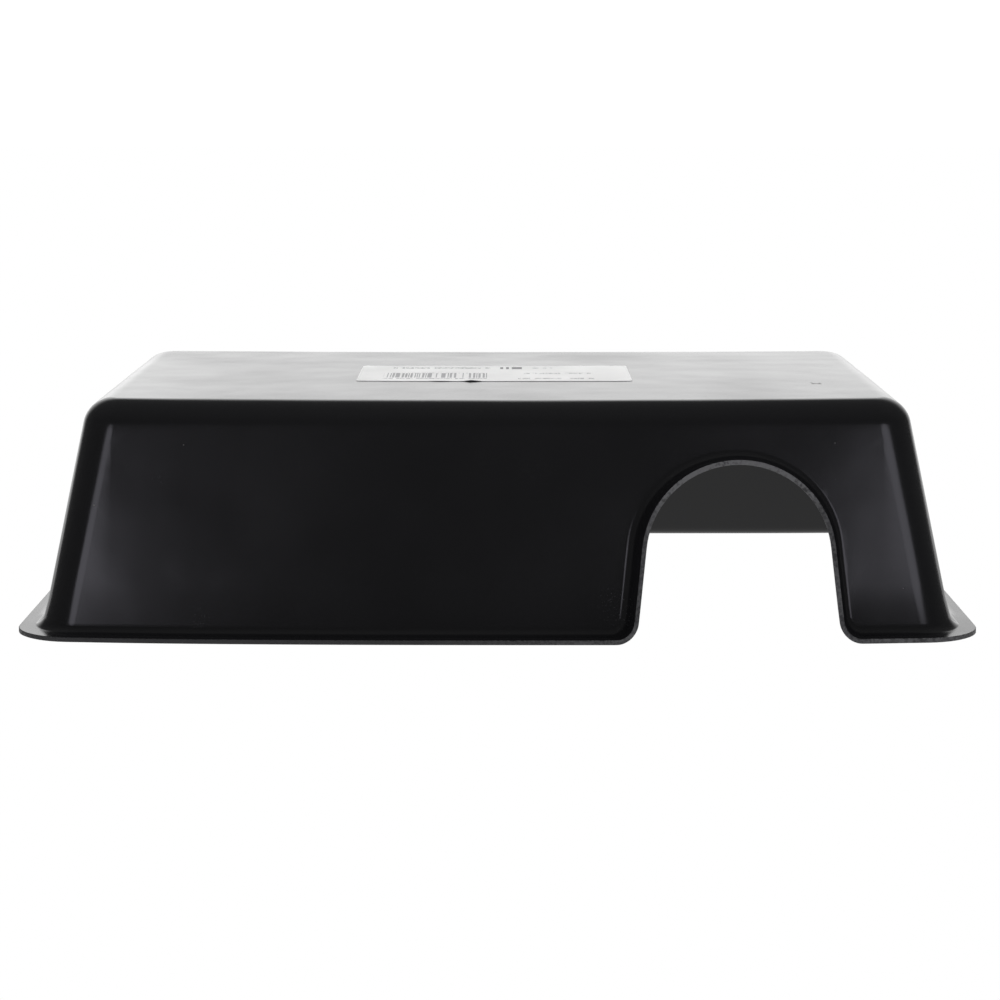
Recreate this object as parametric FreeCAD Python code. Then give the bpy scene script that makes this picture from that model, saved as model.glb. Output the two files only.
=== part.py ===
import FreeCAD, Part
import math
import os

# A black plastic hide box: a shelter for a reptile or another small animal. One sheet of plastic is
# formed into a box that is open underneath, with sloping walls, a flat flange round its foot and an
# arched doorway whose edge is turned out as a lip. A paper label is stuck on its flat top.
#
# Millimetres. +Z is up, +X runs along the long side, and the doorway faces -Y. The origin is on the
# ground under the middle of the box.

# Overall sizes
RIM_LENGTH = 300.0          # along X, over the trimmed edge of the flange
RIM_DEPTH = 200.0           # along Y, over the trimmed edge of the flange
SHELL_HEIGHT = 73.0         # from the ground to the top face
SHEET = 1.5                 # thickness of the plastic

# Walls
DRAFT_ANGLE = 11.0          # degrees that every wall leans in
WALL_CORNER_RADIUS = 11.0   # outside, on the four upright corners
TOP_EDGE_RADIUS = 9.5       # outside, round the top face

# Flange and the fillet that leads into it
FLANGE_WIDTH = 7.0          # from the foot of the wall, without its fillet, to the trimmed edge
RIM_CORNER_RADIUS = 17.0    # of the trimmed outline, seen from above
ROOT_FILLET = 2.2           # outside, between a wall and the flange or the lip

# Doorway, measured on the inside face of its lip
DOOR_ARCH_RADIUS = 28.5
DOOR_LEG_ANGLE = 6.2        # degrees that each leg splays out towards the ground
DOOR_FOOT_RADIUS = 7.0      # where the lip turns into the flange, on the underside
DOOR_TO_END = 75.0          # from the middle of the doorway to the trimmed edge at the +X end
CROWN_TO_TOP = 18.5         # from the top of the arch to the top face

# Label
LABEL_LENGTH = 92.0
LABEL_WIDTH = 46.0
LABEL_THICKNESS = 0.15
LABEL_CORNER_RADIUS = 1.5
LABEL_CENTRE_X = -1.0
LABEL_CENTRE_Y = 1.5
LABEL_TURN = 0.0            # degrees: it was stuck on square to the box

DOOR_CENTRE_X = RIM_LENGTH / 2 - DOOR_TO_END
DOOR_ARCH_CENTRE_Z = SHELL_HEIGHT - CROWN_TO_TOP - DOOR_ARCH_RADIUS
SLOPE = math.tan(math.radians(DRAFT_ANGLE))
OVERSIZE = 20.0             # how far the formed sheet runs past its trimmed edge
BELOW = 10.0                # how far the cutting shapes reach under the ground
TOLERANCE = 1e-4
ORIGIN = FreeCAD.Vector(0, 0, 0)
X_AXIS = FreeCAD.Vector(1, 0, 0)
Z_AXIS = FreeCAD.Vector(0, 0, 1)


def foot_half(rim_size, inset):
    """Half the distance between two opposite walls at ground level, moved in by inset."""
    return rim_size / 2 - FLANGE_WIDTH - inset / math.cos(math.radians(DRAFT_ANGLE))


def wall_y(z, inset=0.0):
    """Y of the front wall's face at height z."""
    return -foot_half(RIM_DEPTH, inset) + z * SLOPE


def walled_block(inset, bottom, top):
    """The solid inside four leaning walls, with its upright corners and top edges rounded."""
    half_x = foot_half(RIM_LENGTH, inset)
    half_y = foot_half(RIM_DEPTH, inset)
    wide_x = half_x - bottom * SLOPE
    wide_y = half_y - bottom * SLOPE
    narrow_x = half_x - top * SLOPE
    narrow_y = half_y - top * SLOPE
    block = Part.makeWedge(
        -wide_x, bottom, -wide_y, -narrow_y, -narrow_x,
        wide_x, top, wide_y, narrow_y, narrow_x,
    )
    block.rotate(ORIGIN, X_AXIS, 90)
    uprights = [e for e in block.Edges if e.BoundBox.ZLength > (top - bottom) / 2]
    block = block.makeFillet(WALL_CORNER_RADIUS - inset, uprights)
    top_edges = [e for e in block.Edges if e.BoundBox.ZMin > top - TOLERANCE]
    return block.makeFillet(TOP_EDGE_RADIUS - inset, top_edges)


def doorway_prism(outset, bottom):
    """A bar of the doorway's outline, grown by outset, from inside the box to past its front."""
    angle = math.radians(DOOR_LEG_ANGLE)
    radius = DOOR_ARCH_RADIUS + outset
    shoulder_x = radius * math.cos(angle)
    shoulder_z = DOOR_ARCH_CENTRE_Z + radius * math.sin(angle)
    foot_x = shoulder_x + (shoulder_z - bottom) * math.tan(angle)
    back = wall_y(shoulder_z + radius) + OVERSIZE

    def point(x, z):
        return FreeCAD.Vector(DOOR_CENTRE_X + x, back, z)

    crown = point(0, DOOR_ARCH_CENTRE_Z + radius)
    outline = Part.Wire([
        Part.makeLine(point(-foot_x, bottom), point(foot_x, bottom)),
        Part.makeLine(point(foot_x, bottom), point(shoulder_x, shoulder_z)),
        Part.Arc(point(shoulder_x, shoulder_z), crown, point(-shoulder_x, shoulder_z)).toShape(),
        Part.makeLine(point(-shoulder_x, shoulder_z), point(-foot_x, bottom)),
    ])
    front = -RIM_DEPTH / 2 - OVERSIZE
    return Part.Face(outline).extrude(FreeCAD.Vector(0, front - back, 0))


def sheet_plate(bottom, top):
    """The flat sheet round the foot of the box, before it is trimmed."""
    length = RIM_LENGTH + 2 * OVERSIZE
    depth = RIM_DEPTH + 2 * OVERSIZE
    corner = FreeCAD.Vector(-length / 2, -depth / 2, bottom)
    return Part.makeBox(length, depth, top - bottom, corner)


def is_root(edge, ground, inset):
    """Whether an edge is where a wall meets the flat sheet or the doorway's bar."""
    box = edge.BoundBox
    flat = box.ZLength < TOLERANCE and abs(box.ZMin - ground) < TOLERANCE
    inside_sheet = box.XMax < RIM_LENGTH / 2 and box.YMax < RIM_DEPTH / 2 and box.YMin > -RIM_DEPTH / 2
    on_front = all(abs(v.Y - wall_y(v.Z, inset)) < TOLERANCE for v in edge.Vertexes)
    return inside_sheet and (flat or on_front) and box.ZMin > ground - TOLERANCE


def formed_solid(inset):
    """Everything under one side of the sheet: inset is 0 for its outside and SHEET for its inside."""
    ground = SHEET - inset
    bottom = -BELOW if inset else 0.0
    block = walled_block(inset, bottom, SHELL_HEIGHT - inset)
    prism = doorway_prism(SHEET - inset, bottom)
    body = block.fuse([sheet_plate(bottom, ground), prism]).removeSplitter()
    feet = [
        e for e in body.Edges
        if abs(e.BoundBox.ZMax - ground) < TOLERANCE
        and e.BoundBox.ZLength < TOLERANCE
        and e.BoundBox.XLength < TOLERANCE
        and abs(e.BoundBox.XMin - DOOR_CENTRE_X) < 2 * DOOR_ARCH_RADIUS
        and e.BoundBox.YMin < wall_y(ground, inset) - TOLERANCE
    ]
    body = body.makeFillet(DOOR_FOOT_RADIUS - ground, feet)
    roots = [e for e in body.Edges if is_root(e, ground, inset)]
    return body.makeFillet(ROOT_FILLET + inset, roots)


def trimmed_space():
    """What is kept of the formed sheet: the flange's outline, and the lip cut parallel to the wall."""
    corner = FreeCAD.Vector(-RIM_LENGTH / 2, -RIM_DEPTH / 2, 0)
    space = Part.makeBox(RIM_LENGTH, RIM_DEPTH, SHELL_HEIGHT, corner)
    uprights = [e for e in space.Edges if e.BoundBox.ZLength > TOLERANCE]
    space = space.makeFillet(RIM_CORNER_RADIUS, uprights)
    front = -RIM_DEPTH / 2
    rise = SHELL_HEIGHT - SHEET
    offcut = Part.Face(Part.makePolygon([
        FreeCAD.Vector(-RIM_LENGTH / 2, front, SHEET),
        FreeCAD.Vector(-RIM_LENGTH / 2, front + rise * SLOPE, SHELL_HEIGHT),
        FreeCAD.Vector(-RIM_LENGTH / 2, front, SHELL_HEIGHT),
        FreeCAD.Vector(-RIM_LENGTH / 2, front, SHEET),
    ])).extrude(FreeCAD.Vector(RIM_LENGTH, 0, 0))
    return space.cut(offcut)


def hide_shell():
    """The formed plastic box with its flange, doorway and lip."""
    outside = formed_solid(0.0).common(trimmed_space())
    return outside.cut(formed_solid(SHEET))


def product_label():
    """The paper label on the top face."""
    corner = FreeCAD.Vector(-LABEL_LENGTH / 2, -LABEL_WIDTH / 2, 0)
    label = Part.makeBox(LABEL_LENGTH, LABEL_WIDTH, LABEL_THICKNESS, corner)
    uprights = [e for e in label.Edges if e.BoundBox.ZLength > LABEL_THICKNESS / 2]
    label = label.makeFillet(LABEL_CORNER_RADIUS, uprights)
    label.rotate(ORIGIN, Z_AXIS, LABEL_TURN)
    label.translate(FreeCAD.Vector(LABEL_CENTRE_X, LABEL_CENTRE_Y, SHELL_HEIGHT))
    return label


def main():
    os.makedirs("parts", exist_ok=True)
    for name, make in (("hide_shell", hide_shell), ("product_label", product_label)):
        shape = make()
        shape = shape.Solids[0] if len(shape.Solids) == 1 else shape
        shape.exportStep(os.path.join("parts", name + ".step"))
        box = shape.BoundBox
        print(name, "valid" if shape.isValid() else "NOT VALID", len(shape.Solids), "solid")
        print("  size", round(box.XLength, 2), round(box.YLength, 2), round(box.ZLength, 2))
        print("  volume", round(shape.Volume, 1))


main()
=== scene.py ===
# %% [markdown]
# # A black plastic hide box
#
# A hide box is a shelter that stands in a reptile's or a small animal's enclosure. It is one sheet of
# black plastic, formed over a mould and trimmed: a flat roof, four walls that lean in so that it comes
# off its mould, a flange round the foot, and an arched doorway with a turned-out lip. The shop has
# stuck a white label on the roof.
#
# This file builds how that box looks, in metres, around a CAD model that already fixes its size. Each
# cell makes one thing and prints what it made.

# %% Start from the CAD model
import bpy
import bmesh
import math
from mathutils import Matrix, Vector


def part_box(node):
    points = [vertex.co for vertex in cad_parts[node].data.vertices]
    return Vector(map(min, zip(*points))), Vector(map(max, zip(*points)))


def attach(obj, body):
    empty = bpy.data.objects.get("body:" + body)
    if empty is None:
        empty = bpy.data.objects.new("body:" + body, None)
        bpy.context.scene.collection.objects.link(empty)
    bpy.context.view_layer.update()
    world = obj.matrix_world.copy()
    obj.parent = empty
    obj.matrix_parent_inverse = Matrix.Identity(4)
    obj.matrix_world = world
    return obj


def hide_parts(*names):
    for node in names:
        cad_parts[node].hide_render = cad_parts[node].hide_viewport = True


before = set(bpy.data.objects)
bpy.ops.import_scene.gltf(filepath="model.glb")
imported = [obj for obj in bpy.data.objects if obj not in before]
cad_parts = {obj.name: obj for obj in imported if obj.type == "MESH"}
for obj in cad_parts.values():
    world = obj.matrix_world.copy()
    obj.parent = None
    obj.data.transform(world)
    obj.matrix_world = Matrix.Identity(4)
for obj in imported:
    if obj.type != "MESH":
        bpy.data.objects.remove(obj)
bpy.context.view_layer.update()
print("CAD nodes:", sorted(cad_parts))

# %% [markdown]
# ## The sizes
#
# The CAD model's shell gives the overall size. The sheet, the lean of the walls, the rounded edges and the
# doorway have the same values as in the CAD model, in metres here. Two differ on purpose: the doorway is
# half a millimetre further left, and END_FILLET, the bend from wall to flange at the two ends, is wider.

# %% Sizes
rim_low, rim_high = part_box("hide_shell")
RIM_LENGTH = rim_high.x - rim_low.x
RIM_DEPTH = rim_high.y - rim_low.y
SHELL_HEIGHT = rim_high.z - rim_low.z
FRONT_Y = rim_low.y

SHEET = 0.0015
DRAFT = math.radians(11)
SLOPE = math.tan(DRAFT)
WALL_CORNER_RADIUS = 0.011
TOP_EDGE_RADIUS = 0.0095
FLANGE_WIDTH = 0.007
RIM_CORNER_RADIUS = 0.017
ROOT_FILLET = 0.0022
END_FILLET = 0.0055

DOOR_ARCH_RADIUS = 0.0285
DOOR_LEG_ANGLE = math.radians(6.2)
DOOR_FOOT_RADIUS = 0.007
DOOR_TO_END = 0.0755
CROWN_TO_TOP = 0.0185
DOOR_CENTRE_X = rim_high.x - DOOR_TO_END
DOOR_ARCH_CENTRE_Z = SHELL_HEIGHT - CROWN_TO_TOP - DOOR_ARCH_RADIUS
NEARLY = 1e-5

print(f"box {RIM_LENGTH * 1000:.0f} x {RIM_DEPTH * 1000:.0f} x {SHELL_HEIGHT * 1000:.0f} mm")

# %% [markdown]
# ## Working by operator
#
# Everything below is modelled the way one works by hand: add a primitive, go into edit mode, select
# some edges or faces, and run an operator on them. With no mouse, the selecting is done by a rule, such
# as "edges that stand upright". These helpers do the selecting, so that each later cell can name its
# edges and get on with the shape. An operator acts on all that is selected, so each helper clears the
# selection first.

# %% Selecting helpers
def make_active(piece):
    """Select one object alone, in object mode."""
    if bpy.context.object and bpy.context.object.mode != "OBJECT":
        bpy.ops.object.mode_set(mode="OBJECT")
    bpy.ops.object.select_all(action="DESELECT")
    piece.select_set(True)
    bpy.context.view_layer.objects.active = piece


def edit(piece):
    """Go into edit mode on one object alone."""
    make_active(piece)
    bpy.ops.object.mode_set(mode="EDIT")


def stop_editing():
    bpy.ops.object.mode_set(mode="OBJECT")


def pick(piece, kind, rule):
    """In edit mode, select the elements of a kind (VERT, EDGE or FACE) that pass the rule."""
    bpy.ops.mesh.select_mode(type=kind)
    bpy.ops.mesh.select_all(action="DESELECT")
    mesh = bmesh.from_edit_mesh(piece.data)
    elements = {"VERT": mesh.verts, "EDGE": mesh.edges, "FACE": mesh.faces}[kind]
    mesh.normal_update()
    chosen = [element for element in elements if rule(element)]
    for element in chosen:
        element.select_set(True)
    mesh.select_flush_mode()
    bmesh.update_edit_mesh(piece.data)
    return len(chosen)


def apply_modifier(piece, kind, **settings):
    """Add a modifier, set it and apply it at once."""
    make_active(piece)
    modifier = piece.modifiers.new(kind.title(), kind)
    for name, value in settings.items():
        setattr(modifier, name, value)
    bpy.ops.object.modifier_apply(modifier=modifier.name)


def settle(piece):
    """Put an object's place, turn and scale into its mesh, so that the object sits at the origin."""
    make_active(piece)
    bpy.ops.object.transform_apply(location=True, rotation=True, scale=True)


print("helpers ready")

# %% [markdown]
# ## The walls and roof
#
# The box could be drawn as a cross-section and swept, but its four walls are flat, so it is quicker to
# start from a cube: shrink its top to lean the walls in, then bevel the upright edges, then the edges
# round the roof. A bevel's offset is how far it reaches along the faces. For a round edge of radius r
# between faces that turn through an angle, that reach is r times the tangent of half the turn.

# %% Lean a cube's walls and round it
FOOT_LENGTH = RIM_LENGTH - 2 * FLANGE_WIDTH
FOOT_DEPTH = RIM_DEPTH - 2 * FLANGE_WIDTH
CORNER_SEGMENTS = 12
FACES_UP = 0.9


def reach(radius, turn):
    """How far a round edge reaches along its faces."""
    return radius * math.tan(turn / 2)


bpy.ops.object.select_all(action="DESELECT")
bpy.ops.mesh.primitive_cube_add(size=1, location=(0, 0, SHELL_HEIGHT / 2))
shell = bpy.context.object
shell.name = "moulded_shell"
shell.scale = (FOOT_LENGTH, FOOT_DEPTH, SHELL_HEIGHT)
settle(shell)

edit(shell)
pick(shell, "FACE", lambda f: f.normal.z > FACES_UP)
lean = SHELL_HEIGHT * SLOPE
shrink = (1 - 2 * lean / FOOT_LENGTH, 1 - 2 * lean / FOOT_DEPTH, 1)
bpy.ops.transform.resize(value=shrink, center_override=(0, 0, SHELL_HEIGHT))

pick(shell, "EDGE", lambda e: abs(e.verts[0].co.z - e.verts[1].co.z) > SHELL_HEIGHT / 2)
bpy.ops.mesh.bevel(offset=WALL_CORNER_RADIUS, segments=CORNER_SEGMENTS, affect="EDGES")

pick(shell, "EDGE", lambda e: all(v.co.z > SHELL_HEIGHT - NEARLY for v in e.verts))
top_turn = math.pi / 2 - DRAFT
bpy.ops.mesh.bevel(
    offset=reach(TOP_EDGE_RADIUS, top_turn), segments=CORNER_SEGMENTS, affect="EDGES"
)
stop_editing()
print("walls and roof:", len(shell.data.polygons), "faces")

# %% [markdown]
# ## The flange plate
#
# A forming machine leaves a flat sheet round the foot of the mould, and a cutter trims it to a rounded
# rectangle. Here it is a thin cube with its four upright edges bevelled.

# %% Flange plate
bpy.ops.object.select_all(action="DESELECT")
bpy.ops.mesh.primitive_cube_add(size=1, location=(0, 0, SHEET / 2))
plate = bpy.context.object
plate.scale = (RIM_LENGTH, RIM_DEPTH, SHEET)
settle(plate)
edit(plate)
pick(plate, "EDGE", lambda e: abs(e.verts[0].co.z - e.verts[1].co.z) > SHEET / 2)
bpy.ops.mesh.bevel(offset=RIM_CORNER_RADIUS, segments=CORNER_SEGMENTS, affect="EDGES")
stop_editing()
print("flange plate:", len(plate.data.polygons), "faces")

# %% [markdown]
# ## The doorway bar
#
# The mould has a bar that stands out of its front wall, and the sheet bends over it: that bend is the
# lip. The bar's end has two splayed legs and a round arch. One leg is an edge of a plane; spinning its
# upper vertex about the arch's centre draws the arch, and one more extrude draws the other leg. Filled
# and pushed back into the box, the outline becomes the bar.

# %% Doorway bar
ARCH_STEPS = 44
BAR_DEPTH = RIM_DEPTH / 4
bar_radius = DOOR_ARCH_RADIUS + SHEET
shoulder_x = bar_radius * math.cos(DOOR_LEG_ANGLE)
shoulder_z = DOOR_ARCH_CENTRE_Z + bar_radius * math.sin(DOOR_LEG_ANGLE)
foot_x = shoulder_x + shoulder_z * math.tan(DOOR_LEG_ANGLE)

bpy.ops.object.select_all(action="DESELECT")
bpy.ops.mesh.primitive_plane_add(size=1, location=(0, 0, 0))
bar = bpy.context.object
edit(bar)
pick(bar, "VERT", lambda v: v.co.x < 0)
bpy.ops.mesh.delete(type="VERT")
outline = bmesh.from_edit_mesh(bar.data)
outline.verts.ensure_lookup_table()
outline.verts[0].co = (DOOR_CENTRE_X + foot_x, FRONT_Y, 0)
outline.verts[1].co = (DOOR_CENTRE_X + shoulder_x, FRONT_Y, shoulder_z)
bmesh.update_edit_mesh(bar.data)

pick(bar, "VERT", lambda v: v.co.z > shoulder_z / 2)
bpy.ops.mesh.spin(
    steps=ARCH_STEPS,
    angle=math.pi - 2 * DOOR_LEG_ANGLE,
    center=(DOOR_CENTRE_X, FRONT_Y, DOOR_ARCH_CENTRE_Z),
    axis=(0, 1, 0),
)
pick(bar, "VERT", lambda v: v.co.x < DOOR_CENTRE_X and abs(v.co.z - shoulder_z) < NEARLY)
bpy.ops.mesh.extrude_region_move(
    TRANSFORM_OT_translate={"value": (shoulder_x - foot_x, 0, -shoulder_z)}
)
bpy.ops.mesh.select_all(action="SELECT")
bpy.ops.mesh.edge_face_add()
bpy.ops.mesh.extrude_region_move(TRANSFORM_OT_translate={"value": (0, BAR_DEPTH, 0)})
bpy.ops.mesh.select_all(action="SELECT")
bpy.ops.mesh.normals_make_consistent(inside=False)
stop_editing()
print("doorway bar:", len(bar.data.polygons), "faces,", f"{2000 * foot_x:.1f} mm wide at its foot")

# %% [markdown]
# ## One skin
#
# The three solids are joined with Boolean modifiers, which is what the forming does: one sheet over all
# of them. The inward corners are then rounded with bevels, first where the lip turns into the flange,
# then the long chain where the walls meet the flange and the lip. A bevel of an inward edge fills it,
# as a fillet does. Inward edges are easy to find: their signed angle is negative.

# %% Join the solids and fillet the inward edges
INWARD = -0.5
ALONG_Y = 0.99
MERGE_DISTANCE = 1e-6
FLAT_ANGLE = math.radians(0.2)
FOOT_SEGMENTS = 12
FILLET_SEGMENTS = 8

for other in (plate, bar):
    apply_modifier(shell, "BOOLEAN", operation="UNION", solver="EXACT", object=other)
    bpy.data.objects.remove(other)


def is_inward(edge):
    return len(edge.link_faces) == 2 and edge.calc_face_angle_signed(0) < INWARD


def is_lip_foot(edge):
    middle = (edge.verts[0].co + edge.verts[1].co) / 2
    along = (edge.verts[0].co - edge.verts[1].co).normalized()
    wall_foot = FRONT_Y + FLANGE_WIDTH
    return is_inward(edge) and abs(along.y) > ALONG_Y and middle.y < wall_foot


edit(shell)
bpy.ops.mesh.select_all(action="SELECT")
bpy.ops.mesh.remove_doubles(threshold=MERGE_DISTANCE)
bpy.ops.mesh.dissolve_limited(angle_limit=FLAT_ANGLE)
feet = pick(shell, "EDGE", is_lip_foot)
foot_turn = math.pi / 2 - DOOR_LEG_ANGLE
bpy.ops.mesh.bevel(
    offset=reach(DOOR_FOOT_RADIUS - SHEET, foot_turn), segments=FOOT_SEGMENTS, affect="EDGES"
)
roots = pick(shell, "EDGE", is_inward)
bpy.ops.mesh.bevel(offset=ROOT_FILLET, segments=FILLET_SEGMENTS, affect="EDGES")
stop_editing()
print("lip feet filleted:", feet, "| root edges filleted:", roots)

# %% [markdown]
# ## Trimming
#
# What has been modelled is solid. The real box is a sheet, so the ground side, the cut sides of the
# flange and the end of the bar are deleted, which leaves the outer skin. The lip is then cut back by a
# plane parallel to the front wall: bisect does that, and clears what stands in front of it.

# %% Delete the ends and cut the lip back
TRIM_POINT = Vector((0, FRONT_Y, SHEET))
TRIM_NORMAL = Vector((0, -math.cos(DRAFT), math.sin(DRAFT)))
SQUARE_TO_FRONT = 0.9999


def is_offcut(face):
    touches_ground = any(v.co.z < SHEET / 2 for v in face.verts)
    return touches_ground or face.normal.y < -SQUARE_TO_FRONT


edit(shell)
removed = pick(shell, "FACE", is_offcut)
bpy.ops.mesh.delete(type="FACE")
bpy.ops.mesh.select_all(action="SELECT")
bpy.ops.mesh.bisect(
    plane_co=TRIM_POINT, plane_no=TRIM_NORMAL, clear_outer=True, threshold=NEARLY
)
stop_editing()
print("faces cut away:", removed)

# %% [markdown]
# ## Even faces
#
# A formed sheet is never quite flat, and a flat wall that is a single face can't be anything else. So
# the skin is cut by evenly spaced planes into faces a few millimetres across. Cutting with bisect adds
# edges without moving anything, so the rounded edges keep their shape. The wider bend at the two ends
# reaches out over the flange, so there are two more cuts at each end, part of the way along that bend
# and where it stops. Where a cut passes very close to a vertex it leaves a sliver, and merging by
# distance takes those out.

# %% Cut the skin into even faces
CELL = 0.006
SLIVER = 0.0003
CUT_THRESHOLD = 2e-5
ROOF_MARGIN = 0.001
END_CUTS = (0.7, 1.0)


def cut_skin(place, normal):
    """Cut the whole skin by one plane."""
    bpy.ops.mesh.select_all(action="SELECT")
    bpy.ops.mesh.bisect(plane_co=place, plane_no=normal, threshold=CUT_THRESHOLD)


def slice_skin(axis, low, high, cell):
    """Cut the skin by planes square to an axis, evenly spaced between two places."""
    count = max(1, round((high - low) / cell))
    for step in range(count + 1):
        place = Vector((0, 0, 0))
        place[axis] = low + (high - low) * step / count
        normal = Vector((0, 0, 0))
        normal[axis] = 1
        cut_skin(place, normal)


edit(shell)
roof_half_x = FOOT_LENGTH / 2 - lean - reach(TOP_EDGE_RADIUS, top_turn)
roof_half_y = FOOT_DEPTH / 2 - lean - reach(TOP_EDGE_RADIUS, top_turn)
slice_skin(0, -roof_half_x + ROOF_MARGIN, roof_half_x - ROOF_MARGIN, CELL)
slice_skin(1, -roof_half_y + ROOF_MARGIN, roof_half_y - ROOF_MARGIN, CELL)
slice_skin(2, 2 * ROOT_FILLET, SHELL_HEIGHT - TOP_EDGE_RADIUS, CELL)
for end in (-1, 1):
    for share in END_CUTS:
        cut_x = end * (FOOT_LENGTH / 2 + share * reach(END_FILLET, top_turn))
        cut_skin(Vector((cut_x, 0, 0)), Vector((1, 0, 0)))
bpy.ops.mesh.select_all(action="SELECT")
bpy.ops.mesh.remove_doubles(threshold=SLIVER)
stop_editing()
print("skin:", len(shell.data.polygons), "faces")

# %% [markdown]
# ## The moulding mark
#
# The roof has one small nib on the right, where the mould lets its air out. It is drawn out of the
# roof itself: the face that holds its place is inset, its corners are rounded, and it is pulled up a
# little. So the nib stands in the middle of that face, up to half a face away from the place given.

# %% Moulding nib
NIB_X = DOOR_CENTRE_X + 0.0320
NIB_Y = FRONT_Y + 0.068
NIB_RADIUS = 0.0013
NIB_HEIGHT = 0.00010
NIB_CORNER_SHARE = 0.6
NIB_TOP_SHARE = 0.6
STRAIGHT_UP = 0.999


def holds_nib(face):
    xs = [v.co.x for v in face.verts]
    ys = [v.co.y for v in face.verts]
    over = min(xs) < NIB_X < max(xs) and min(ys) < NIB_Y < max(ys)
    return over and face.normal.z > STRAIGHT_UP


edit(shell)
pick(shell, "FACE", holds_nib)
bpy.ops.mesh.inset(thickness=CELL / 2 - NIB_RADIUS)
bpy.ops.mesh.bevel(offset=NIB_RADIUS * NIB_CORNER_SHARE, segments=3, affect="VERTICES")
bpy.ops.mesh.select_mode(type="FACE")
bpy.ops.mesh.extrude_region_move(TRANSFORM_OT_translate={"value": (0, 0, NIB_HEIGHT)})
bpy.ops.transform.resize(value=(NIB_TOP_SHARE, NIB_TOP_SHARE, 1))
stop_editing()
print("nib drawn at", round(NIB_X * 1000), round(NIB_Y * 1000), "mm")

# %% [markdown]
# ## Turn the lip out
#
# The bar's sides are square to the front, but the real lip spreads where it meets the wall, on the left
# more than on the right, because the sheet slid over the mould as it was stretched. So the skin is
# pushed sideways, away from the middle of the doorway: nothing at the trimmed end, all of it at the
# depth of the wall, and fading out in the wall beside the doorway.

# %% Spread the root of the lip
LEFT_FLARE = 0.0026
RIGHT_FLARE = 0.0012
FLARE_FADE = 0.014


def smooth_fall(share):
    """A smooth fall from 1 at zero to 0 at one."""
    share = min(1.0, max(0.0, 1.0 - share))
    return share * share * (3 - 2 * share)


def beside_bar(place):
    """How far a point lies outside the outline of the bar."""
    side = abs(place.x - DOOR_CENTRE_X)
    if place.z > shoulder_z:
        return math.hypot(side, place.z - DOOR_ARCH_CENTRE_Z) - bar_radius
    return side - shoulder_x - (shoulder_z - place.z) * math.tan(DOOR_LEG_ANGLE)


def turned_out(place):
    """Where a point of the straight skin lies once the lip is spread."""
    depth = (TRIM_POINT - place).dot(TRIM_NORMAL)
    wall_depth = FLANGE_WIDTH * math.cos(DRAFT)
    if depth > 2 * wall_depth:
        return place
    spread = min(1.0, max(0.0, depth / wall_depth)) * smooth_fall(beside_bar(place) / FLARE_FADE)
    side = (place.x - DOOR_CENTRE_X) / bar_radius
    flare = LEFT_FLARE if side < 0 else RIGHT_FLARE
    return place + Vector((flare * spread * min(1.0, max(-1.0, side)), 0, 0))


for vertex in shell.data.vertices:
    vertex.co = turned_out(vertex.co)
print("lip spread by", LEFT_FLARE * 1000, "and", RIGHT_FLARE * 1000, "mm")

# %% [markdown]
# ## A wider bend at the two ends
#
# The sheet had further to stretch at the ends of the box, so it bends from wall to flange in a wider
# curve there than along the front. Seen in a slice across the foot, that curve is a circle that touches
# the wall and the flange. Each skin vertex in the corner between the two touching points is moved away
# from the corner, onto the circle. Round the four upright corners the circle shrinks smoothly to the
# narrower bend of the front.

# %% Widen the bend at the ends
BEND_TURN_START = 0.3
BEND_LIMIT_Z = 3 * END_FILLET


def bent_wider(place):
    """Where a point of the skin lies once the bend at the ends is widened."""
    outward_x = abs(place.x) - FOOT_LENGTH / 2 + WALL_CORNER_RADIUS
    outward_y = max(0.0, abs(place.y) - FOOT_DEPTH / 2 + WALL_CORNER_RADIUS)
    if outward_x <= 0 or place.z > BEND_LIMIT_Z:
        return place
    outward = Vector((outward_x, outward_y))
    direction = outward.normalized()
    share = smooth_fall((direction.y - BEND_TURN_START) / (1 - BEND_TURN_START))
    radius = ROOT_FILLET + (END_FILLET - ROOT_FILLET) * share
    lean_here = math.atan(SLOPE * (direction.x + direction.y))
    centre_z = SHEET + radius
    centre_out = (radius - centre_z * math.sin(lean_here)) / math.cos(lean_here)
    out = outward.length - WALL_CORNER_RADIUS - centre_out
    up = place.z - centre_z
    past_wall = up * math.cos(lean_here) >= out * math.sin(lean_here)
    if out >= 0 or past_wall or math.hypot(out, up) <= radius:
        return place
    scale = radius / math.hypot(out, up)
    shift = direction * (out * scale - out)
    new_x = place.x + shift.x * math.copysign(1, place.x)
    new_y = place.y + shift.y * math.copysign(1, place.y)
    return Vector((new_x, new_y, centre_z + up * scale))


for vertex in shell.data.vertices:
    vertex.co = bent_wider(vertex.co)
print("bend widened at the ends to", END_FILLET * 1000, "mm")

# %% [markdown]
# ## Warp
#
# Formed plastic cools unevenly. The roof sinks a little between its ends, the long sides are a little
# fuller in the middle than at the corners, the foot spreads, more on the right than on the left, and the
# corners of the flange lift off the ground by less than a millimetre. A lattice could bend the mesh like
# this, but a few short formulas are easier to read and to change.

# %% Bend the skin as it cooled
ROOF_SAG = 0.0009
SIDE_FULLNESS = 0.0027
CORNER_LIFT = 0.0007
FOOT_SPREAD = 0.0040
SPREAD_AT_MIDDLE = 0.6
SPREAD_TO_RIGHT = 0.8
SPREAD_FADE = 12
SAG_FADE = 3
STILL_HEIGHT = 2 * ROOT_FILLET
RIPPLE = 0.00006
RIPPLE_SIZE = 0.035


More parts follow.
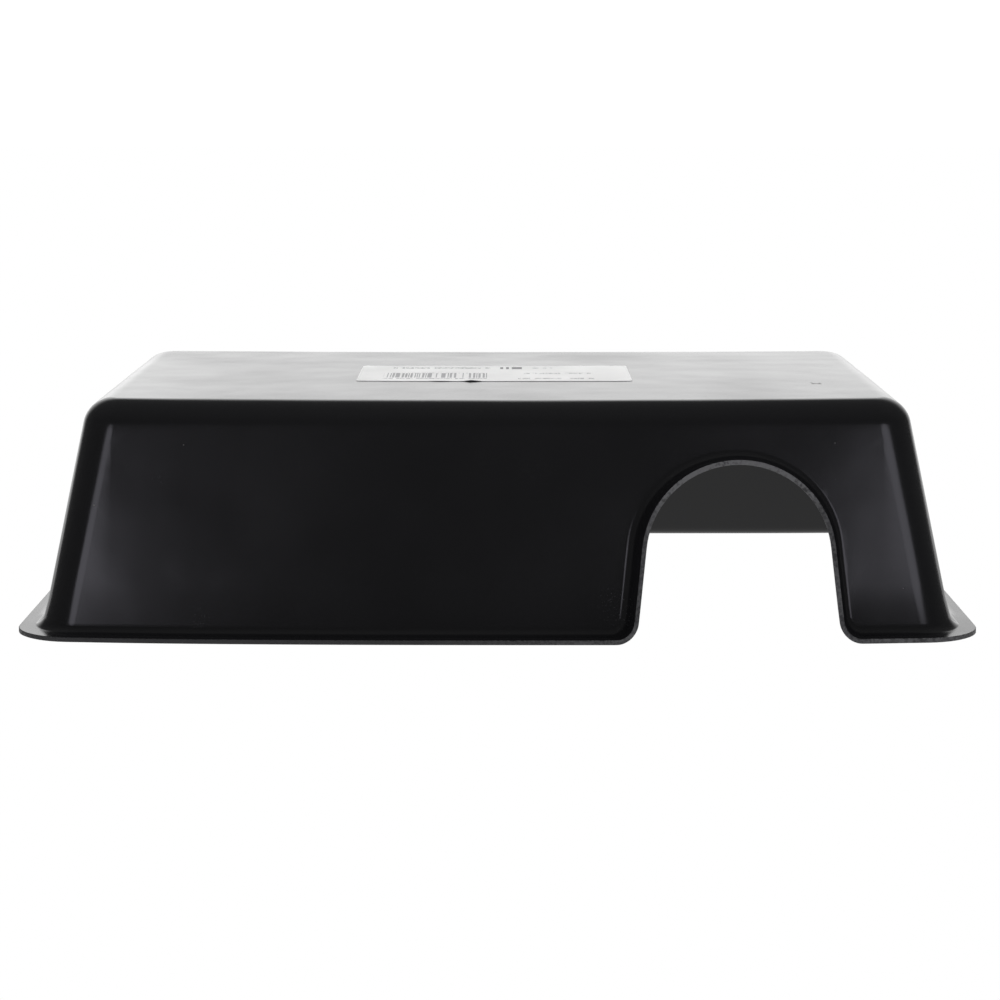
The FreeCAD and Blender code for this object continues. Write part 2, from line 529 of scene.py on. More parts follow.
def warped(place):
    """Where a point of the straight skin lies after cooling."""
    x, y, z = place
    from_middle = (2 * x / RIM_LENGTH) ** 2
    height = z / SHELL_HEIGHT
    fuller = SIDE_FULLNESS * (1 - 2 * from_middle)
    spread_share = SPREAD_AT_MIDDLE + SPREAD_TO_RIGHT * x / RIM_LENGTH
    spread = FOOT_SPREAD * spread_share * (1 - height) ** SPREAD_FADE
    sag = ROOF_SAG * (1 - from_middle) * height ** SAG_FADE
    lift = CORNER_LIFT * from_middle ** 2 * (1 - height)
    return Vector((x, y * (1 + (fuller + spread) / RIM_DEPTH), z - sag + lift))


free_sheet = shell.vertex_groups.new(name="free_sheet")
for vertex in shell.data.vertices:
    weight = min(1.0, max(0.0, vertex.co.z - STILL_HEIGHT) / STILL_HEIGHT)
    free_sheet.add([vertex.index], weight, "REPLACE")
    vertex.co = warped(vertex.co)

ripples = bpy.data.textures.new("cooling_ripples", "CLOUDS")
ripples.noise_scale = RIPPLE_SIZE
ripples.noise_depth = 1
apply_modifier(
    shell,
    "DISPLACE",
    texture=ripples,
    strength=2 * RIPPLE,
    mid_level=1.0,
    texture_coords="LOCAL",
    vertex_group="free_sheet",
)
print("skin warped: roof sags", ROOF_SAG * 1000, "mm")

# %% [markdown]
# ## Thickness and the trimmed edge
#
# Solidify turns the skin into a sheet of even thickness, growing inwards so that the outside stays
# where it is. It also closes the edge that the cutter left. That edge gets a second material slot,
# because sawn plastic is paler and rougher than moulded plastic, and a very small bevel, because no cut
# edge is perfectly sharp.

# %% Give the skin its thickness
EDGE_BREAK = 0.00018
SMOOTH_BELOW = math.radians(50)
NORMAL_WEIGHT = 50

moulded_plastic = bpy.data.materials.new("moulded_plastic")
trimmed_plastic = bpy.data.materials.new("trimmed_plastic")
shell.data.materials.clear()
shell.data.materials.append(moulded_plastic)
shell.data.materials.append(trimmed_plastic)
apply_modifier(
    shell,
    "SOLIDIFY",
    thickness=SHEET,
    offset=-1,
    use_even_offset=True,
    use_quality_normals=True,
    material_offset_rim=1,
)


def is_cut_corner(edge):
    slots = {face.material_index for face in edge.link_faces}
    return len(slots) == 2


edit(shell)
cut_edges = pick(shell, "EDGE", is_cut_corner)
bpy.ops.mesh.bevel(
    offset=EDGE_BREAK, segments=2, affect="EDGES", material=1, clamp_overlap=True
)
stop_editing()
make_active(shell)
bpy.ops.object.shade_smooth_by_angle(angle=SMOOTH_BELOW)
apply_modifier(shell, "WEIGHTED_NORMAL", mode="FACE_AREA", weight=NORMAL_WEIGHT, keep_sharp=True)
print("shell:", len(shell.data.polygons), "faces,", cut_edges, "cut edges broken")

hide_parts("hide_shell")
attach(shell, "root")

# %% [markdown]
# ## The label
#
# The label is a piece of coated paper. It starts as a plane, is cut into small faces so that it can
# follow the roof, and gets its rounded corners from a vertex bevel. A shrinkwrap modifier then lays it
# on the roof by dropping it straight down, and two short stretches of its front edge are lifted where
# it was not pressed down well. Solidify gives it the thickness of paper and adhesive.

# %% Cut the label and lay it on the roof
LABEL_LENGTH = 0.092
LABEL_WIDTH = 0.046
LABEL_THICKNESS = 0.00012
LABEL_CORNER_RADIUS = 0.0015
LABEL_GAP = 0.00002
LABEL_CUTS_ALONG = 45
LABEL_CUTS_ACROSS = 22

label_low, label_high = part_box("product_label")
label_centre = (label_low + label_high) / 2

bpy.ops.object.select_all(action="DESELECT")
bpy.ops.mesh.primitive_grid_add(
    x_subdivisions=LABEL_CUTS_ALONG + 1, y_subdivisions=LABEL_CUTS_ACROSS + 1, size=1
)
label = bpy.context.object
label.name = "paper_label"
label.scale = (LABEL_LENGTH, LABEL_WIDTH, 1)
label.location = (label_centre.x, label_centre.y, SHELL_HEIGHT + SHEET)
settle(label)

edit(label)
pick(label, "VERT", lambda v: len(v.link_edges) == 2)
bpy.ops.mesh.bevel(offset=LABEL_CORNER_RADIUS, segments=4, affect="VERTICES")
stop_editing()

apply_modifier(
    label,
    "SHRINKWRAP",
    target=shell,
    wrap_method="PROJECT",
    use_project_z=True,
    use_negative_direction=True,
    use_positive_direction=False,
    offset=LABEL_GAP,
)
print("label laid at", round(max(v.co.z for v in label.data.vertices) * 1000, 2), "mm")

# %% [markdown]
# A lifted stretch is a small smooth hump along the edge, highest at the edge itself and gone a few
# millimetres in. Each is given by its place along the label, half its length, how far in it reaches and
# its height.

# %% Lift two stretches of its front edge
LIFTS = (
    (0.0385, 0.0034, 0.003, 0.00040),
    (0.028, 0.005, 0.003, 0.00010),
)
PAPER_SMOOTH_BELOW = math.radians(40)

for vertex in label.data.vertices:
    along = vertex.co.x - label_centre.x + LABEL_LENGTH / 2
    inward = vertex.co.y - label_centre.y + LABEL_WIDTH / 2
    for centre, half_length, depth, height in LIFTS:
        along_fall = smooth_fall(abs(along - centre) / half_length)
        vertex.co.z += height * along_fall * smooth_fall(inward / depth)

apply_modifier(label, "SOLIDIFY", thickness=LABEL_THICKNESS, offset=1, use_even_offset=True)
make_active(label)
bpy.ops.object.shade_smooth_by_angle(angle=PAPER_SMOOTH_BELOW)
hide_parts("product_label")
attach(label, "root")
print("label:", len(label.data.polygons), "faces")

# %% [markdown]
# ## Shared effects
#
# Three effects are used by more than one finish, so each is a node group with named inputs and outputs:
# soft patches (handling haze), fine scuffs (short scratches in patches), and dust (sparse specks). A
# group only puts out masks. What a mask does, such as making the surface rougher or paler, is decided
# in each material.

# %% Node helpers
def add_node(tree, kind, inputs=(), **settings):
    """Add a node, set its properties, and feed its inputs from values or other nodes' outputs."""
    node = tree.nodes.new(kind)
    for name, value in settings.items():
        setattr(node, name, value)
    for key, value in dict(inputs).items():
        if isinstance(value, bpy.types.NodeSocket):
            tree.links.new(value, node.inputs[key])
        else:
            node.inputs[key].default_value = value
    return node


def maths(tree, operation, first, second=0.0, third=0.0):
    """The result of one sum on values or other nodes' outputs."""
    inputs = {0: first, 1: second, 2: third}
    node = add_node(tree, "ShaderNodeMath", inputs, operation=operation)
    return node.outputs[0]


def between(tree, value, low, high):
    """A value remapped from low..high to 0..1, clamped."""
    inputs = {"Value": value, "From Min": low, "From Max": high}
    return add_node(tree, "ShaderNodeMapRange", inputs, clamp=True).outputs["Result"]


def new_group(name, inputs, outputs):
    """An empty node group with its input and output sockets made."""
    group = bpy.data.node_groups.new(name, "ShaderNodeTree")
    for socket, kind, value in inputs:
        made = group.interface.new_socket(socket, in_out="INPUT", socket_type=kind)
        if value is not None:
            made.default_value = value
    for socket in outputs:
        group.interface.new_socket(socket, in_out="OUTPUT", socket_type="NodeSocketFloat")
    return group, group.nodes.new("NodeGroupInput"), group.nodes.new("NodeGroupOutput")


def use_group(tree, group, inputs):
    """The mask that a node group puts out."""
    return add_node(tree, "ShaderNodeGroup", inputs, node_tree=group).outputs["Mask"]


def mix_colour(tree, factor, first, second):
    """One colour mixed into another by a mask."""
    inputs = {MIX_FACTOR: factor, MIX_FIRST: first, MIX_SECOND: second}
    return add_node(tree, "ShaderNodeMix", inputs, data_type="RGBA").outputs[MIX_RESULT]


FLOAT = "NodeSocketFloat"
VECTOR = "NodeSocketVector"
MIX_FACTOR = 0
MIX_FIRST = 6
MIX_SECOND = 7
MIX_RESULT = 2
print("node helpers ready")

# %% Soft patches
WIDEST_HALF = 0.26
CONTRAST_NARROWS = -0.24

patches, given, result = new_group(
    "soft_patches",
    [("Vector", VECTOR, None), ("Size", FLOAT, 0.04), ("Contrast", FLOAT, 0.5)],
    ["Mask"],
)
per_metre = maths(patches, "DIVIDE", 1.0, given.outputs["Size"])
large = add_node(
    patches,
    "ShaderNodeTexNoise",
    {"Vector": given.outputs["Vector"], "Scale": per_metre, "Detail": 3.0, "Roughness": 0.55},
)
half_width = maths(patches, "MULTIPLY_ADD", given.outputs["Contrast"], CONTRAST_NARROWS, WIDEST_HALF)
low_edge = maths(patches, "SUBTRACT", 0.5, half_width)
high_edge = maths(patches, "ADD", 0.5, half_width)
patches.links.new(between(patches, large.outputs["Fac"], low_edge, high_edge), result.inputs["Mask"])
print("soft patches:", len(patches.nodes), "nodes")

# %% [markdown]
# A scuff is a thin, short, straight line. Noise that is stretched nearly fifty times along one direction
# gives thin streaks; keeping only its highest values leaves lines, and a second, round noise keeps them
# in patches, where the box has been rubbed.

# %% Fine scuffs
SCUFF_AXIS = (0.3, 0.5, 1.0)
STREAKS_PER_METRE = (2600.0, 55.0, 2600.0)
PATCHES_PER_METRE = 28.0
LINE_LOW = 0.66
LINE_HIGH = 0.74
RAREST = 0.75
AMOUNT_SPREADS = -0.35
PATCH_EDGE = 0.15

scuffs, given, result = new_group(
    "fine_scuffs",
    [("Vector", VECTOR, None), ("Angle", FLOAT, 0.4), ("Amount", FLOAT, 0.5)],
    ["Mask"],
)
turned = add_node(
    scuffs,
    "ShaderNodeVectorRotate",
    {"Vector": given.outputs["Vector"], "Axis": SCUFF_AXIS, "Angle": given.outputs["Angle"]},
    rotation_type="AXIS_ANGLE",
)
stretched = add_node(
    scuffs,
    "ShaderNodeVectorMath",
    {0: turned.outputs["Vector"], 1: STREAKS_PER_METRE},
    operation="MULTIPLY",
)
streaks = add_node(
    scuffs, "ShaderNodeTexNoise", {"Vector": stretched.outputs["Vector"], "Scale": 1.0, "Detail": 1.0}
)
rubbed = add_node(
    scuffs,
    "ShaderNodeTexNoise",
    {"Vector": given.outputs["Vector"], "Scale": PATCHES_PER_METRE, "Detail": 2.0},
)
line = between(scuffs, streaks.outputs["Fac"], LINE_LOW, LINE_HIGH)
where_least = maths(scuffs, "MULTIPLY_ADD", given.outputs["Amount"], AMOUNT_SPREADS, RAREST)
where_most = maths(scuffs, "ADD", where_least, PATCH_EDGE)
where = between(scuffs, rubbed.outputs["Fac"], where_least, where_most)
scuffs.links.new(maths(scuffs, "MULTIPLY", line, where), result.inputs["Mask"])
print("fine scuffs:", len(scuffs.nodes), "nodes")

# %% [markdown]
# Dust is a Voronoi texture: each cell holds one speck at its own point, and the distance to that point
# draws it. The cell's random colour decides whether it has a speck at all, and how large.

# %% Dust
SMALLEST_SPECK = 0.015
SPECK_RANGE = 0.05
SPECK_CORE = 0.5

dust, given, result = new_group(
    "dust_specks",
    [("Vector", VECTOR, None), ("Spacing", FLOAT, 0.006), ("Share", FLOAT, 0.2)],
    ["Mask"],
)
per_metre = maths(dust, "DIVIDE", 1.0, given.outputs["Spacing"])
cells = add_node(
    dust, "ShaderNodeTexVoronoi", {"Vector": given.outputs["Vector"], "Scale": per_metre}
)
chance = add_node(dust, "ShaderNodeSeparateColor", {"Color": cells.outputs["Color"]})
radius = maths(dust, "MULTIPLY_ADD", chance.outputs["Green"], SPECK_RANGE, SMALLEST_SPECK)
core = maths(dust, "MULTIPLY", radius, SPECK_CORE)
speck = between(dust, cells.outputs["Distance"], radius, core)
has_speck = maths(dust, "LESS_THAN", chance.outputs["Red"], given.outputs["Share"])
dust.links.new(maths(dust, "MULTIPLY", speck, has_speck), result.inputs["Mask"])
print("dust specks:", len(dust.nodes), "nodes")

# %% [markdown]
# ## Moulded black plastic
#
# The sheet took its finish from a smooth mould: black all through, semi-gloss, and easily marked. A
# Principled BSDF with a nearly black colour gives the gloss; what makes it plastic rather than paint is
# what varies over it. Handling haze changes the roughness in soft patches, scuffs and dust are paler
# and rougher, and a fine bump breaks the reflections slightly, as the grain of a formed sheet does.

# %% Moulded black plastic
BLACK = (0.0062, 0.0062, 0.0070, 1)
SCUFFED = (0.050, 0.050, 0.053, 1)
DUSTY = (0.16, 0.16, 0.155, 1)
SCUFF_PALENESS = 0.55
DUST_PALENESS = 0.6
GLOSS_ROUGHNESS = 0.145
HAZE_ROUGHENS = 0.06
MARKS_ROUGHEN = 0.25
DUST_ROUGHENS = 0.3
GRAINS_PER_METRE = 1400.0
SWELLS_PER_METRE = 42.0
GRAIN_SHARE = 0.02
RELIEF_DEPTH = 0.00016
PLASTIC_IOR = 1.5


def start_material(material):
    """A material's node tree, its shader, and the place of each point on the object."""
    material.use_nodes = True
    tree = material.node_tree
    shader = tree.nodes["Principled BSDF"]
    place = add_node(tree, "ShaderNodeTexCoord").outputs["Object"]
    return tree, shader, place


tree, shader, place = start_material(moulded_plastic)
haze = use_group(tree, patches, {"Vector": place, "Size": 0.045, "Contrast": 0.35})
scuffed = use_group(tree, scuffs, {"Vector": place, "Angle": 0.5, "Amount": 0.32})
crossed = use_group(tree, scuffs, {"Vector": place, "Angle": 2.1, "Amount": 0.25})
specks = use_group(tree, dust, {"Vector": place, "Spacing": 0.007, "Share": 0.10})
marks = maths(tree, "MAXIMUM", scuffed, crossed)

colour = mix_colour(tree, maths(tree, "MULTIPLY", marks, SCUFF_PALENESS), BLACK, SCUFFED)
colour = mix_colour(tree, maths(tree, "MULTIPLY", specks, DUST_PALENESS), colour, DUSTY)
tree.links.new(colour, shader.inputs["Base Color"])

roughness = maths(tree, "MULTIPLY_ADD", haze, HAZE_ROUGHENS, GLOSS_ROUGHNESS)
roughness = maths(tree, "MULTIPLY_ADD", marks, MARKS_ROUGHEN, roughness)
roughness = maths(tree, "MULTIPLY_ADD", specks, DUST_ROUGHENS, roughness)
tree.links.new(roughness, shader.inputs["Roughness"])

grain = add_node(
    tree, "ShaderNodeTexNoise", {"Vector": place, "Scale": GRAINS_PER_METRE, "Detail": 2.0}
)
swell = add_node(
    tree, "ShaderNodeTexNoise", {"Vector": place, "Scale": SWELLS_PER_METRE, "Detail": 1.0}
)
height = maths(tree, "MULTIPLY_ADD", grain.outputs["Fac"], GRAIN_SHARE, swell.outputs["Fac"])
relief = add_node(
    tree, "ShaderNodeBump", {"Height": height, "Distance": RELIEF_DEPTH, "Strength": 1.0}
)
tree.links.new(relief.outputs["Normal"], shader.inputs["Normal"])
shader.inputs["IOR"].default_value = PLASTIC_IOR
print("moulded plastic:", len(tree.nodes), "nodes")

# %% [markdown]
# ## Trimmed edge
#
# Where the sheet was cut, the tool has left fine ridges across the edge, and the ragged surface scatters
# light, so the same black plastic looks grey there. One ramp along the length makes the cut edge paler
# towards the right. A second ramp up the height is painted light: over the top of the doorway the cut
# edge faces up and catches more light from above, and that light is painted into its colour as a paler grey.

# %% Trimmed edge
CUT_DARK = (0.012, 0.012, 0.013, 1)
CUT_PALE = (0.125, 0.125, 0.128, 1)
PALER_FROM_X = -0.02
PALER_TO_X = 0.05
# Painted light: the cut edge over the top of the doorway is painted paler because it faces up and catches
# more light from above.
CROWN_LIGHT_FROM_Z = 0.040
CROWN_LIGHT_TO_Z = 0.054
PALENESS_AT_LEFT = 0.12
PALENESS_TO_RIGHT = 0.70
PAINTED_CROWN_LIGHT = 1.20
CHATTER_SHARE = 0.6
WORN_SHARE = 0.4
CUT_ROUGHNESS = 0.38
CHATTER_ROUGHENS = 0.2
RIDGE_DEPTH = 0.00006

tree, shader, place = start_material(trimmed_plastic)
chatter = use_group(tree, patches, {"Vector": place, "Size": 0.0011, "Contrast": 0.8})
worn = use_group(tree, patches, {"Vector": place, "Size": 0.012, "Contrast": 0.6})
spot = add_node(tree, "ShaderNodeSeparateXYZ", {"Vector": place})
paleness_and_painted_light = between(tree, spot.outputs["X"], PALER_FROM_X, PALER_TO_X)
paleness_and_painted_light = maths(tree, "MULTIPLY_ADD", paleness_and_painted_light, PALENESS_TO_RIGHT, PALENESS_AT_LEFT)
# Painted light: a ramp up the height paints the cut edge over the top of the doorway paler, where more light
# from above falls on it.
painted_crown_light = between(tree, spot.outputs["Z"], CROWN_LIGHT_FROM_Z, CROWN_LIGHT_TO_Z)
paleness_and_painted_light = maths(tree, "MULTIPLY_ADD", painted_crown_light, PAINTED_CROWN_LIGHT, paleness_and_painted_light)
bright = maths(tree, "MULTIPLY", worn, WORN_SHARE)
bright = maths(tree, "MULTIPLY_ADD", chatter, CHATTER_SHARE, bright)
bright = maths(tree, "MULTIPLY", bright, paleness_and_painted_light)
tree.links.new(mix_colour(tree, bright, CUT_DARK, CUT_PALE), shader.inputs["Base Color"])
roughness = maths(tree, "MULTIPLY_ADD", chatter, CHATTER_ROUGHENS, CUT_ROUGHNESS)
tree.links.new(roughness, shader.inputs["Roughness"])
ridges = add_node(
    tree, "ShaderNodeBump", {"Height": chatter, "Distance": RIDGE_DEPTH, "Strength": 1.0}
)
tree.links.new(ridges.outputs["Normal"], shader.inputs["Normal"])
print("trimmed edge:", len(tree.nodes), "nodes")

# %% [markdown]
# ## The label's print
#
# The label carries a bar code and a few lines of small print. Both are only patterns here, and neither
# can be read. The pattern needs its own place on the label, so a Mapping node first puts the label's
# centre at zero. Ink lies wherever a cell of a random grid comes up dark: tall thin cells make the bars,
# and small cells in short groups make the lines. A block is given by its left, bottom, right and top, and
# a line of print also by the width of one letter.

# %% Blocks of print
BARCODE_BLOCK = (-0.0375, -0.0130, -0.0025, 0.0010)
BARCODE_MODULE = 0.00036
TEXT_BLOCKS = (
    (-0.0375, -0.0168, -0.0025, -0.0146, 0.0011),
    (-0.0350, 0.0142, -0.0015, 0.0178, 0.0016),
    (0.0100, -0.0020, 0.0335, 0.0012, 0.0015),
    (0.0080, -0.0172, 0.0335, -0.0142, 0.0015),
    (0.0130, 0.0150, 0.0200, 0.0172, 0.0012),
)
BOLD_BLOCK = (0.0005, 0.0128, 0.0095, 0.0190)
BOLD_MODULE = 0.0010
BAR_DENSITY = 0.5
BOLD_DENSITY = 0.62
WORD_DENSITY = 0.82
STROKE_DENSITY = 0.62

print_block, given, result = new_group(
    "print_block",
    [
        ("Vector", VECTOR, None),
        ("Left", FLOAT, 0.0),
        ("Bottom", FLOAT, 0.0),
        ("Right", FLOAT, 0.01),
        ("Top", FLOAT, 0.01),
        ("Cell Width", FLOAT, 0.001),
        ("Cell Height", FLOAT, 0.001),
        ("Density", FLOAT, 0.5),
    ],
    ["Mask"],
)
spot = add_node(print_block, "ShaderNodeSeparateXYZ", {"Vector": given.outputs["Vector"]})
inside = 1.0
for axis, low, high in (("X", "Left", "Right"), ("Y", "Bottom", "Top")):
    above = maths(print_block, "GREATER_THAN", spot.outputs[axis], given.outputs[low])
    below = maths(print_block, "LESS_THAN", spot.outputs[axis], given.outputs[high])
    inside = maths(print_block, "MULTIPLY", inside, maths(print_block, "MULTIPLY", above, below))
column = maths(print_block, "DIVIDE", spot.outputs["X"], given.outputs["Cell Width"])
row = maths(print_block, "DIVIDE", spot.outputs["Y"], given.outputs["Cell Height"])
cell = add_node(
    print_block,
    "ShaderNodeCombineXYZ",
    {"X": maths(print_block, "FLOOR", column), "Y": maths(print_block, "FLOOR", row)},
)
toss = add_node(
    print_block, "ShaderNodeTexWhiteNoise", {"Vector": cell.outputs["Vector"]}, noise_dimensions="2D"
)
inked = maths(print_block, "LESS_THAN", toss.outputs["Value"], given.outputs["Density"])
print_block.links.new(maths(print_block, "MULTIPLY", inside, inked), result.inputs["Mask"])
print("print blocks:", len(TEXT_BLOCKS) + 2)

# %% [markdown]
# ## Label paper
#
# The paper is white and coated, so it is glossier than bare paper. The print is pale, with one bold
# cluster that is darker, and the ink is a little duller than the paper. Soft grey smudges show where it
# has been handled, and its fibres make a very fine bump.

# %% Label paper
PAPER_WHITE = (0.90, 0.90, 0.89, 1)
PAPER_GREY = (0.82, 0.82, 0.81, 1)
INK = (0.38, 0.38, 0.39, 1)
BOLD_INK = (0.10, 0.10, 0.11, 1)
WHOLE_BLOCK = 1.0
SMUDGE_STRENGTH = 0.45
PAPER_ROUGHNESS = 0.30
SMUDGE_ROUGHENS = 0.12
INK_ROUGHENS = 0.1
FIBRES_PER_METRE = 2200.0
FIBRE_DEPTH = 0.00002

label_paper = bpy.data.materials.new("printed_label_paper")
label.data.materials.append(label_paper)
tree, shader, place = start_material(label_paper)
on_label = add_node(
    tree,
    "ShaderNodeMapping",
    {"Vector": place, "Location": label_centre},
    vector_type="TEXTURE",
).outputs["Vector"]


def ink_mask(block, cell_width, cell_height, density):
    """Where one block of print puts its ink."""
    left, bottom, right, top = block
    inputs = {"Left": left, "Bottom": bottom, "Right": right, "Top": top}
    inputs.update({"Cell Width": cell_width, "Cell Height": cell_height, "Density": density})
    return use_group(tree, print_block, {"Vector": on_label, **inputs})


ink = ink_mask(BARCODE_BLOCK, BARCODE_MODULE, WHOLE_BLOCK, BAR_DENSITY)
bold = ink_mask(BOLD_BLOCK, BOLD_MODULE, WHOLE_BLOCK, BOLD_DENSITY)
for *block, letter_pitch in TEXT_BLOCKS:
    words = ink_mask(block, letter_pitch, WHOLE_BLOCK, WORD_DENSITY)
    strokes = ink_mask(block, letter_pitch / 4, letter_pitch / 2, STROKE_DENSITY)
    ink = maths(tree, "MAXIMUM", ink, maths(tree, "MULTIPLY", words, strokes))

smudged = use_group(tree, patches, {"Vector": place, "Size": 0.016, "Contrast": 0.3})
greyed = maths(tree, "MULTIPLY", smudged, SMUDGE_STRENGTH)
paper = mix_colour(tree, greyed, PAPER_WHITE, PAPER_GREY)
printed = mix_colour(tree, bold, mix_colour(tree, ink, paper, INK), BOLD_INK)
tree.links.new(printed, shader.inputs["Base Color"])
roughness = maths(tree, "MULTIPLY_ADD", smudged, SMUDGE_ROUGHENS, PAPER_ROUGHNESS)
roughness = maths(tree, "MULTIPLY_ADD", ink, INK_ROUGHENS, roughness)
tree.links.new(roughness, shader.inputs["Roughness"])
fibres = add_node(
    tree, "ShaderNodeTexNoise", {"Vector": place, "Scale": FIBRES_PER_METRE, "Detail": 2.0}
)
paper_relief = add_node(
    tree,
    "ShaderNodeBump",
    {"Height": fibres.outputs["Fac"], "Distance": FIBRE_DEPTH, "Strength": 0.5},
)
tree.links.new(paper_relief.outputs["Normal"], shader.inputs["Normal"])
print("label paper:", len(tree.nodes), "nodes")

# %% [markdown]
# ## The floor
#
# A product picture is taken on a white table that runs into a white backdrop. The floor is one large
# disc. To the camera it is plain white; to the box it is a soft white light from below, which brightens
# the undersides without any hard edge. A Light Path node tells the two apart. The box shades the table
# round it, so what it mirrors there is greyer than the table far away.

# %% Floor
FLOOR_RADIUS = 6.0
FLOOR_SIDES = 96
FLOOR_WHITE = 1.0
FLOOR_NEAR = 0.62
FLOOR_FAR = 1.15
NEAR_RADIUS = 0.25
FAR_RADIUS = 0.80

bpy.ops.object.select_all(action="DESELECT")
bpy.ops.mesh.primitive_circle_add(radius=FLOOR_RADIUS, vertices=FLOOR_SIDES, fill_type="NGON")
floor = bpy.context.object
floor.name = "pale_floor"
floor_finish = bpy.data.materials.new("pale_floor_finish")
floor.data.materials.append(floor_finish)
floor_finish.use_nodes = True
tree = floor_finish.node_tree
tree.nodes.clear()
seen = add_node(tree, "ShaderNodeLightPath").outputs["Is Camera Ray"]
on_floor = add_node(tree, "ShaderNodeTexCoord").outputs["Object"]
away = add_node(tree, "ShaderNodeVectorMath", {0: on_floor}, operation="LENGTH").outputs["Value"]
far_off = between(tree, away, NEAR_RADIUS, FAR_RADIUS)
mirrored = maths(tree, "MULTIPLY_ADD", far_off, FLOOR_FAR - FLOOR_NEAR, FLOOR_NEAR)
unseen = maths(tree, "SUBTRACT", 1.0, seen)
glow = maths(tree, "MULTIPLY_ADD", unseen, mirrored, maths(tree, "MULTIPLY", seen, FLOOR_WHITE))
light = add_node(tree, "ShaderNodeEmission", {"Color": (1, 1, 1, 1), "Strength": glow})
add_node(tree, "ShaderNodeOutputMaterial", {"Surface": light.outputs["Emission"]})
print("floor:", 2 * FLOOR_RADIUS, "m across")

# %% [markdown]
# ## The room's light
#
# Black gloss plastic shows only what it reflects, so most of its look is the room around it. The roof
# is seen at a low angle and mirrors the white backdrop behind it, so it looks pale grey. The front wall
# leans back and mirrors the dark part of the studio above the camera, so it stays black. The world is
# written as a function of direction: white for the camera, a bright backdrop behind the box up to a
# soft upper edge, and a dim room everywhere else, a little lighter overhead. The backdrop is brighter
# towards its two ends, more on the left, and dimmer in its upper part. Each range below holds two parts
# of the direction, between which one zone of light passes into the next.

# %% World
BACKDROP = 1.22
ROOM = 0.10
LEFT_END = 0.22
RIGHT_END = 0.08
UPPER_PART = -0.15
OVERHEAD = 0.14
BEHIND_Y = (0.62, 0.97)
LOW_DOWN_Z = (0.62, 0.40)
LEFT_END_X = (-0.10, -0.16)
RIGHT_END_X = (0.06, 0.15)
UPPER_PART_Z = (0.12, 0.20)
OVERHEAD_Z = (0.55, 0.95)

world = bpy.data.worlds.new("white_studio")
bpy.context.scene.world = world
world.use_nodes = True
tree = world.node_tree
tree.nodes.clear()
direction = add_node(tree, "ShaderNodeTexCoord").outputs["Generated"]
towards = add_node(tree, "ShaderNodeSeparateXYZ", {"Vector": direction})
behind = between(tree, towards.outputs["Y"], *BEHIND_Y)
low_down = between(tree, towards.outputs["Z"], *LOW_DOWN_Z)
backdrop = maths(tree, "MULTIPLY", behind, low_down)
left_end = between(tree, towards.outputs["X"], *LEFT_END_X)
right_end = between(tree, towards.outputs["X"], *RIGHT_END_X)
lamplit = maths(tree, "MULTIPLY_ADD", left_end, LEFT_END, 1.0)
lamplit = maths(tree, "MULTIPLY_ADD", right_end, RIGHT_END, lamplit)
upper = between(tree, towards.outputs["Z"], *UPPER_PART_Z)
lamplit = maths(tree, "MULTIPLY_ADD", upper, UPPER_PART, lamplit)
backdrop = maths(tree, "MULTIPLY", backdrop, lamplit)
above = between(tree, towards.outputs["Z"], *OVERHEAD_Z)
strength = maths(tree, "MULTIPLY_ADD", above, OVERHEAD - ROOM, ROOM)
strength = maths(tree, "MULTIPLY_ADD", backdrop, BACKDROP, strength)
seen = add_node(tree, "ShaderNodeLightPath").outputs["Is Camera Ray"]
strength = maths(tree, "MAXIMUM", seen, strength)
sky = add_node(tree, "ShaderNodeBackground", {"Color": (1, 1, 1, 1), "Strength": strength})
add_node(tree, "ShaderNodeOutputWorld", {"Surface": sky.outputs["Background"]})
print("world:", len(tree.nodes), "nodes")

# %% [markdown]
# ## Softboxes
#
# Two round softboxes stand left and right in front of the box. The rounded corners of the walls
# mirror them as pale upright streaks, a little cooler than white. Two wide panels higher up at the sides
# light the label. They must not show as bright windows in the gloss of the top corners, so they are
# hidden from glossy rays. Each lamp is placed by its direction and distance, and turned to face the
# box. Directions are in degrees: round from the front, then up from level.

# %% Lights
TARGET = Vector((0, 0, SHELL_HEIGHT / 2))
COOL_WHITE = (0.97, 0.95, 1.08)
SOFTBOX_HEIGHT = 4.3
SOFTBOX_AWAY = 3.0
PANEL_ROUND = 95
PANEL_HEIGHT = 50
PANEL_AWAY = 2.0
PANEL_SIZE = 1.4


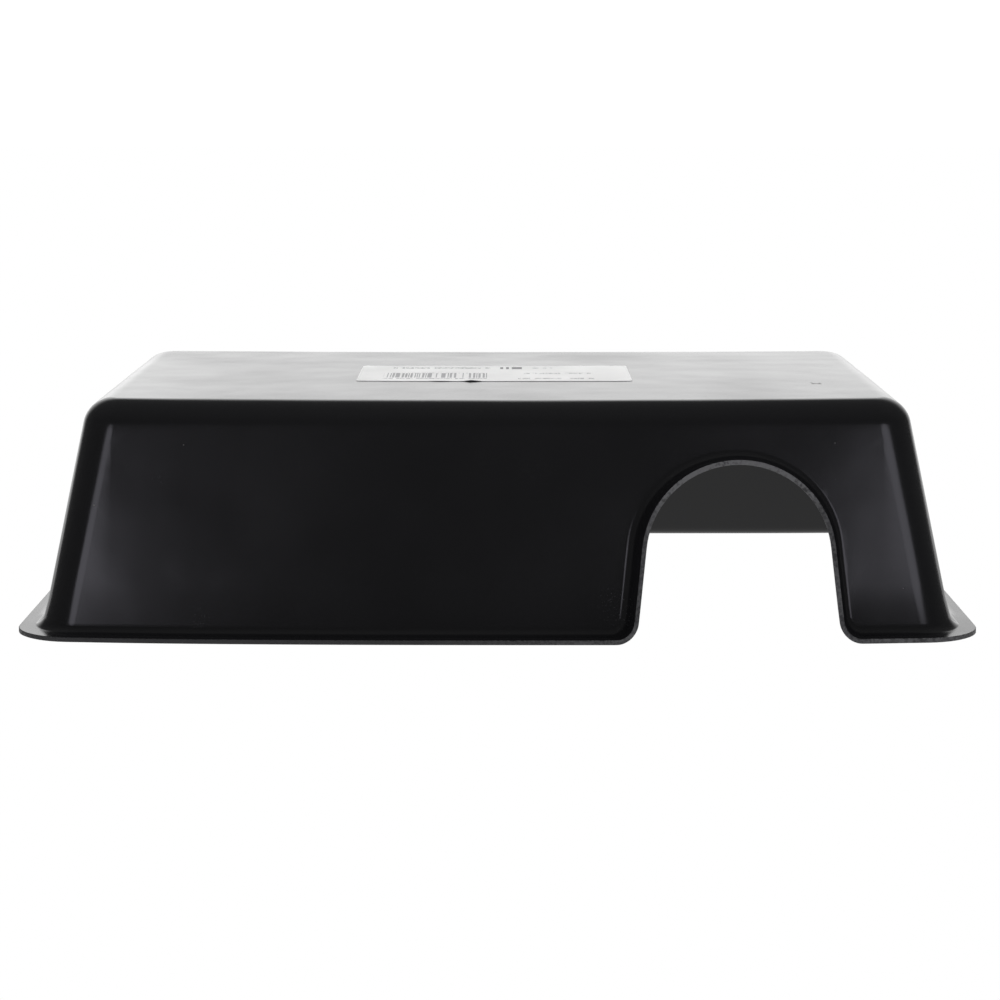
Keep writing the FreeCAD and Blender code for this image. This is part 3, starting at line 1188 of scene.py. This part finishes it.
def place_lamp(name, shape, azimuth, elevation, distance, size, brightness):
    """An area lamp that faces the box, with an even brightness over its face."""
    around = math.radians(azimuth)
    up = math.radians(elevation)
    away = Vector((math.sin(around) * math.cos(up), -math.cos(around) * math.cos(up), math.sin(up)))
    lamp = bpy.data.lights.new(name, "AREA")
    lamp.shape = shape
    lamp.size = size
    area = math.pi * size * size / 4 if shape == "DISK" else size * size
    lamp.energy = brightness * math.pi * area
    holder = bpy.data.objects.new(name, lamp)
    bpy.context.collection.objects.link(holder)
    holder.location = TARGET + away * distance
    holder.rotation_euler = (-away).to_track_quat("-Z", "Y").to_euler()
    return holder


softboxes = (
    place_lamp("left_softbox", "DISK", -26.0, SOFTBOX_HEIGHT, SOFTBOX_AWAY, 1.44, 1.68),
    place_lamp("right_softbox", "DISK", 28.6, SOFTBOX_HEIGHT, SOFTBOX_AWAY, 1.81, 1.55),
)
for softbox in softboxes:
    softbox.data.color = COOL_WHITE
panels = (
    place_lamp("left_panel", "SQUARE", -PANEL_ROUND, PANEL_HEIGHT, PANEL_AWAY, PANEL_SIZE, 2.75),
    place_lamp("right_panel", "SQUARE", PANEL_ROUND, PANEL_HEIGHT, PANEL_AWAY, PANEL_SIZE, 3.05),
)
for panel in panels:
    panel.visible_glossy = False

# %% [markdown]
# ## The camera
#
# The camera stands low in front of the box, so that the roof shows only as a narrow band. A lens of
# about 94 mm keeps the perspective gentle. The standard view transform is used, because the scene is lit for
# plain white and black, with nothing brighter than white that would have to be rolled off.

# %% Camera
CAMERA_PLACE = (0.0009, -0.8815, 0.1715)
CAMERA_PITCH = 0.16075
LENS_MM = 93.53
SENSOR_MM = 36
NEAREST_SEEN = 0.05

eye = bpy.data.cameras.new("product_camera")
eye.lens = LENS_MM
eye.sensor_width = SENSOR_MM
eye.clip_start = NEAREST_SEEN
camera = bpy.data.objects.new("product_camera", eye)
bpy.context.collection.objects.link(camera)
camera.location = CAMERA_PLACE
camera.rotation_euler = (math.pi / 2 - CAMERA_PITCH, 0, 0)
bpy.context.scene.camera = camera
bpy.context.scene.view_settings.view_transform = "Standard"
print("camera pitched down", round(math.degrees(CAMERA_PITCH), 1), "degrees")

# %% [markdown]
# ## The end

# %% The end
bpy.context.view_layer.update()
